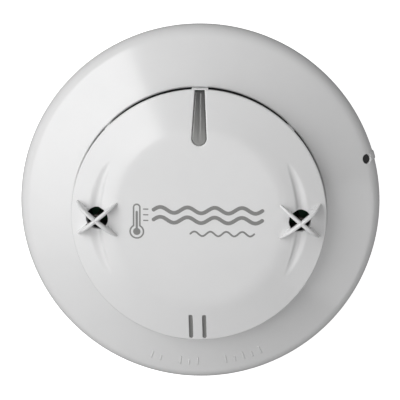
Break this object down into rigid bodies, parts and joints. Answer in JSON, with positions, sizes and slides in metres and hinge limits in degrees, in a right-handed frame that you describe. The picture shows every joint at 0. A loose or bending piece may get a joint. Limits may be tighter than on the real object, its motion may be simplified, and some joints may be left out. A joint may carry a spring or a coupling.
{
  "type": "heat detector",
  "caption": "Round white plug-in heat detector: domed cap over an air gap, guarded thermistors, indicator lens and a bayonet base with screw terminals.",
  "frame": {"origin": "centre of the base's flat back face, which sits against the ceiling or wall", "axes": "+Z points out of the sensing face, away from the ceiling; +Y points towards the indicator lens; the two thermistors lie along X"},
  "size_m": [0.101, 0.101, 0.0342],
  "materials": {
    "shell": "glossy white moulded thermoplastic with a very fine moulding texture",
    "housing": "satin white moulded thermoplastic",
    "shroud": "matte black moulded thermoplastic",
    "lens": "clear moulded polycarbonate",
    "bead": "glossy dark epoxy bead on tinned leads",
    "board": "green solder mask over glass-fibre board",
    "chip": "matte black moulded package",
    "led": "milky white encapsulation",
    "glass": "sealed glass tube with tinned leads",
    "can": "sleeved aluminium can",
    "suppressor": "dipped blue coating",
    "switch_body": "black moulded switch housing",
    "rotor": "ivory moulded rotor",
    "brass": "stamped brass sheet",
    "tin": "bright tin-plated steel",
    "steel": "zinc-plated steel"
  },
  "bodies": {
    "base": {"base_body": "housing", "base_contact_1": "brass", "base_contact_2": "brass", "base_contact_3": "brass", "base_contact_4": "brass", "clamp_washer_1": "tin", "clamp_washer_2": "tin", "clamp_washer_3": "tin", "clamp_washer_4": "tin", "terminal_screw_1": "tin", "terminal_screw_2": "tin", "terminal_screw_3": "tin", "terminal_screw_4": "tin"},
    "lever": {"tamper_lever": "housing"},
    "head": {"rear_housing": "housing", "circuit_board": "board", "sensor_shroud": "shroud", "light_pipe": "lens", "front_cap": "shell", "outer_cover": "shell", "microcontroller": "chip", "bridge_rectifier": "chip", "clock_crystal": "steel", "status_led": "led", "smoothing_capacitor": "can", "surge_suppressor": "suppressor", "reed_switch": "glass", "thermistor_left": "bead", "thermistor_right": "bead", "address_switch_tens": "switch_body", "address_switch_units": "switch_body", "contact_blade_1": "brass", "contact_blade_2": "brass", "contact_blade_3": "brass", "contact_blade_4": "brass", "cover_screw_1": "steel", "cover_screw_2": "steel", "cover_screw_3": "steel"},
    "tens_rotor": {"address_rotor_tens": "rotor"},
    "units_rotor": {"address_rotor_units": "rotor"}
  },
  "joints": [
    {"name": "head_twist", "type": "hinge", "parent": "base", "child": "head", "pos_m": [0, 0, 0], "axis": [0, 0, 1], "range_deg": [0, 20]},
    {"name": "tens_dial", "type": "hinge", "parent": "head", "child": "tens_rotor", "pos_m": [-0.0085, 0.004, 0.0105], "axis": [0, 0, 1], "continuous": true},
    {"name": "units_dial", "type": "hinge", "parent": "head", "child": "units_rotor", "pos_m": [0.0085, 0.004, 0.0105], "axis": [0, 0, 1], "continuous": true},
    {"name": "tamper_press", "type": "hinge", "parent": "base", "child": "lever", "pos_m": [0.03667, 0.0252, 0.006], "axis": [0.898, 0.4399, 0], "range_deg": [0, 8], "stiffness_Nm_per_rad": 0.05, "springref_deg": -5.73}
  ]
}
